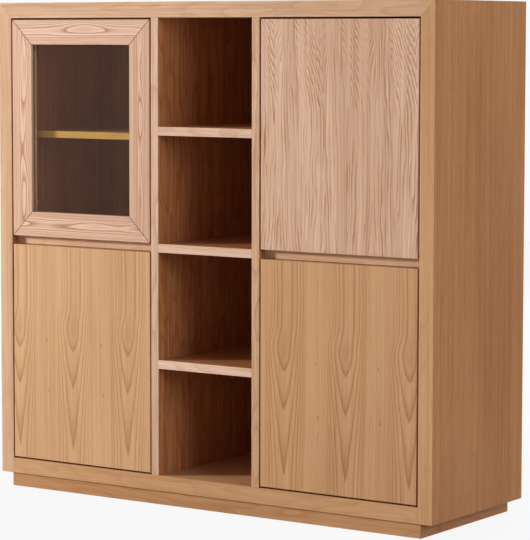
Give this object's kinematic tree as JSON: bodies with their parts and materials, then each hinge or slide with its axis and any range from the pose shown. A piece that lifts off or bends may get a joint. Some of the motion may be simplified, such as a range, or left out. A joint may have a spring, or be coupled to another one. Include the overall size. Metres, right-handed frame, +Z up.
{
  "type": "waiter service station",
  "caption": "Free-standing oak service sideboard with an open shelved middle bay, a tinted glazed door and slab doors on concealed cup hinges, on a set-back plinth.",
  "frame": {"origin": "on the floor under the middle of the case", "axes": "+X to the right seen from the front, front faces -Y, +Z up"},
  "size_m": [1.2, 0.4, 1.156],
  "materials": {
    "oak": "satin lacquered oak veneer",
    "back_oak": "matt oak veneer board",
    "shelf_oak": "satin oak with a golden front edge",
    "tea_glass": "polished tea-tinted float glass",
    "steel": "nickel-plated pressed steel"
  },
  "bodies": {
    "case": {"top_panel": "oak", "bottom_panel": "oak", "back_panel": "back_oak", "left_side_panel": "oak", "right_side_panel": "oak", "left_divider": "oak", "right_divider": "oak", "left_fixed_shelf": "oak", "right_fixed_shelf": "oak", "middle_shelf_lower": "oak", "middle_shelf_centre": "oak", "middle_shelf_upper": "oak", "plinth_front": "oak", "plinth_back": "oak", "plinth_left": "oak", "plinth_right": "oak", "left_lower_loose_shelf": "shelf_oak", "left_upper_loose_shelf": "shelf_oak", "right_lower_loose_shelf": "shelf_oak", "right_upper_loose_shelf": "shelf_oak", "left_upper_door_lower_hinge_arm": "steel", "left_upper_door_lower_hinge_plate": "steel", "left_upper_door_upper_hinge_arm": "steel", "left_upper_door_upper_hinge_plate": "steel", "left_lower_door_lower_hinge_arm": "steel", "left_lower_door_lower_hinge_plate": "steel", "left_lower_door_upper_hinge_arm": "steel", "left_lower_door_upper_hinge_plate": "steel", "right_upper_door_lower_hinge_arm": "steel", "right_upper_door_lower_hinge_plate": "steel", "right_upper_door_upper_hinge_arm": "steel", "right_upper_door_upper_hinge_plate": "steel", "right_lower_door_lower_hinge_arm": "steel", "right_lower_door_lower_hinge_plate": "steel", "right_lower_door_upper_hinge_arm": "steel", "right_lower_door_upper_hinge_plate": "steel"},
    "left_upper_door": {"left_upper_door_left_stile": "oak", "left_upper_door_right_stile": "oak", "left_upper_door_bottom_rail": "oak", "left_upper_door_top_rail": "oak", "left_upper_door_left_stile_bead": "oak", "left_upper_door_right_stile_bead": "oak", "left_upper_door_bottom_rail_bead": "oak", "left_upper_door_top_rail_bead": "oak", "left_upper_door_pane": "tea_glass", "left_upper_door_lower_hinge_cup": "steel", "left_upper_door_upper_hinge_cup": "steel"},
    "left_lower_door": {"left_lower_door_panel": "oak", "left_lower_door_lower_hinge_cup": "steel", "left_lower_door_upper_hinge_cup": "steel"},
    "right_upper_door": {"right_upper_door_panel": "oak", "right_upper_door_lower_hinge_cup": "steel", "right_upper_door_upper_hinge_cup": "steel"},
    "right_lower_door": {"right_lower_door_panel": "oak", "right_lower_door_lower_hinge_cup": "steel", "right_lower_door_upper_hinge_cup": "steel"}
  },
  "joints": [
    {"name": "left_upper_door_hinge", "type": "hinge", "parent": "case", "child": "left_upper_door", "pos_m": [-0.54286, -0.1885, 0.6], "axis": [0, 0, -1], "range_deg": [0, 95]},
    {"name": "left_lower_door_hinge", "type": "hinge", "parent": "case", "child": "left_lower_door", "pos_m": [-0.54286, -0.1885, 0.6], "axis": [0, 0, -1], "range_deg": [0, 95]},
    {"name": "right_upper_door_hinge", "type": "hinge", "parent": "case", "child": "right_upper_door", "pos_m": [0.54286, -0.1885, 0.6], "axis": [0, 0, 1], "range_deg": [0, 95]},
    {"name": "right_lower_door_hinge", "type": "hinge", "parent": "case", "child": "right_lower_door", "pos_m": [0.54286, -0.1885, 0.6], "axis": [0, 0, 1], "range_deg": [0, 95]}
  ]
}
